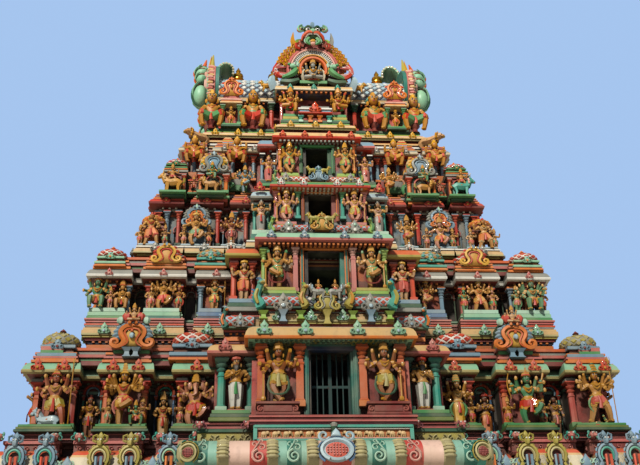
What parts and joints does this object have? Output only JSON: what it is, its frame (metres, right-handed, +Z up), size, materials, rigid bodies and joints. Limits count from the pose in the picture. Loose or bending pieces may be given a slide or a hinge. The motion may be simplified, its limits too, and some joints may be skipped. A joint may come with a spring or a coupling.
{
  "type": "temple gateway tower",
  "caption": "South Indian style temple gateway tower: stone ground storey with a passage, stepped stucco storeys with figures, and a barrel roof with finials.",
  "frame": {"origin": "on the ground under the middle of the tower's plan, at the height of its feet", "axes": "+Z up, +X to the right seen from the front, -Y out of the front face; the passage runs along Y"},
  "size_m": [15.2, 13.8, 21.26],
  "materials": {
    "granite": "weathered stone",
    "painted_stucco_green": "painted stucco, matt",
    "painted_stucco_red": "painted stucco, matt",
    "painted_stucco_cornice": "painted stucco, matt",
    "painted_stucco_figures": "painted stucco, satin",
    "painted_stucco_roof": "painted stucco, matt",
    "painted_gate": "painted, semi-gloss",
    "gilded_brass": "gilded, satin"
  },
  "bodies": {
    "root": {"back_nasi": "painted_stucco_cornice", "barrel_roof": "painted_stucco_roof", "base_cornice": "granite", "base_plinth_left": "granite", "base_plinth_right": "granite", "base_wall_left": "granite", "base_wall_right": "granite", "finial_1": "gilded_brass", "finial_2": "gilded_brass", "finial_3": "gilded_brass", "finial_4": "gilded_brass", "finial_5": "gilded_brass", "front_nasi": "painted_stucco_cornice", "gateway_frame_back": "granite", "gateway_frame_front": "granite", "neck_figures_back": "painted_stucco_figures", "neck_figures_front": "painted_stucco_figures", "neck_podium": "painted_stucco_green", "neck_walls": "painted_stucco_red", "roof_end_left": "painted_stucco_cornice", "roof_end_right": "painted_stucco_cornice", "tier1_cornice": "painted_stucco_cornice", "tier1_figures_back": "painted_stucco_figures", "tier1_figures_front": "painted_stucco_figures", "tier1_grille_back": "painted_gate", "tier1_grille_front": "painted_gate", "tier1_podium": "painted_stucco_green", "tier1_wall_left": "painted_stucco_red", "tier1_wall_right": "painted_stucco_red", "tier2_cornice": "painted_stucco_cornice", "tier2_figures_back": "painted_stucco_figures", "tier2_figures_front": "painted_stucco_figures", "tier2_podium": "painted_stucco_green", "tier2_wall_left": "painted_stucco_red", "tier2_wall_right": "painted_stucco_red", "tier3_cornice": "painted_stucco_cornice", "tier3_figures_back": "painted_stucco_figures", "tier3_figures_front": "painted_stucco_figures", "tier3_podium": "painted_stucco_green", "tier3_wall_left": "painted_stucco_red", "tier3_wall_right": "painted_stucco_red", "tier4_cornice": "painted_stucco_cornice", "tier4_figures_back": "painted_stucco_figures", "tier4_figures_front": "painted_stucco_figures", "tier4_podium": "painted_stucco_green", "tier4_wall_left": "painted_stucco_red", "tier4_wall_right": "painted_stucco_red"}
  },
  "joints": []
}
